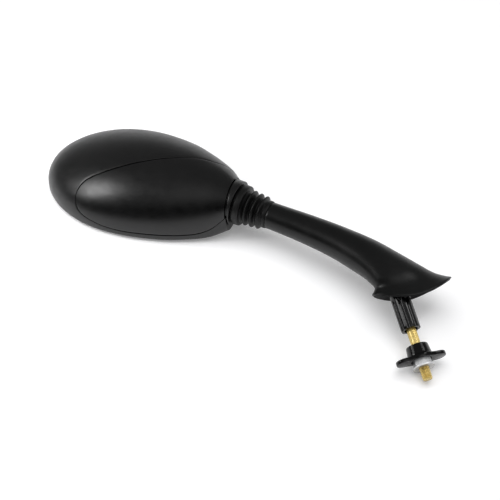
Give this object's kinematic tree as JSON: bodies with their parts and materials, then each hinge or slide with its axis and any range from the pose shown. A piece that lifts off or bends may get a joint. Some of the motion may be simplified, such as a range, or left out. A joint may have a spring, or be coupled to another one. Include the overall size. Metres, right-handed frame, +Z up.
{
  "type": "motorcycle rear view mirror",
  "caption": "Oval rear view mirror in a two-piece shell, on a ball joint with a rubber bellows, a curved arm flaring into a saddle foot, and a splined stud with eared washer and flange nut.",
  "frame": {"origin": "middle of the foot's hollow seat, where the stud's axis leaves it", "axes": "+Z up as it lies glass down; +X along the head's long axis, from the round end towards the neck; +Y towards the head's far side"},
  "size_m": [0.3683, 0.1773, 0.0485],
  "materials": {
    "housing_plastic": "satin black, fine grain",
    "collar_plastic": "satin black",
    "mirror": "silvered glass",
    "foam": "adhesive foam",
    "holder_plastic": "matt black",
    "screw_steel": "zinc plated",
    "socket_alloy": "die cast",
    "spring_steel": "bare",
    "cup_plastic": "natural acetal",
    "rod_steel": "turned",
    "boot_rubber": "matt black",
    "arm_plastic": "satin black",
    "pad_rubber": "matt black",
    "sleeve_plastic": "gloss black",
    "plated_steel": "yellow zinc plating",
    "washer_plastic": "gloss black",
    "nut_steel": "bright zinc plating"
  },
  "bodies": {
    "arm": {"arm": "arm_plastic", "seat_pad": "pad_rubber", "sleeve": "sleeve_plastic", "stud": "plated_steel", "ball_rod": "rod_steel", "bellows_boot": "boot_rubber"},
    "cup_back": {"cup_back": "cup_plastic"},
    "cup_front": {"cup_front": "cup_plastic"},
    "head": {"head_housing": "housing_plastic", "rear_cover": "housing_plastic", "collar_ring": "collar_plastic", "mirror_glass": "mirror", "foam_pad": "foam", "glass_holder": "holder_plastic", "holder_screws": "screw_steel", "socket_body": "socket_alloy", "socket_screws": "screw_steel", "clamp_cap": "socket_alloy", "disc_springs": "spring_steel", "pressure_pad": "cup_plastic"},
    "washer": {"ear_washer": "washer_plastic"},
    "nut": {"flange_nut": "nut_steel"}
  },
  "joints": [
    {"name": "head_twist", "type": "hinge", "parent": "arm", "child": "cup_back", "pos_m": [-0.15051, 0.04985, 0.00012], "axis": [0.989, -0.1478, 0], "range_deg": [-20, 20], "deforming": ["bellows_boot"]},
    {"name": "head_swing", "type": "hinge", "parent": "cup_back", "child": "cup_front", "pos_m": [-0.15051, 0.04985, 0.00012], "axis": [0, 0, 1], "range_deg": [-15, 15]},
    {"name": "head_tip", "type": "hinge", "parent": "cup_front", "child": "head", "pos_m": [-0.15051, 0.04985, 0.00012], "axis": [0.1478, 0.989, 0], "range_deg": [-15, 15]},
    {"name": "washer_slide", "type": "slide", "parent": "arm", "child": "washer", "axis": [0.5375, -0.7969, -0.2756], "range_m": [-0.0063, 0.0088]},
    {"name": "nut_spin", "type": "hinge", "parent": "washer", "child": "nut", "pos_m": [0.03134, -0.04646, -0.01607], "axis": [0.5375, -0.7969, -0.2756], "range_deg": [-1800, 2520]}
  ],
  "couplings": [
    {"joint": "washer_slide", "follows": "nut_spin", "m_per_rad": 0.00019894}
  ]
}
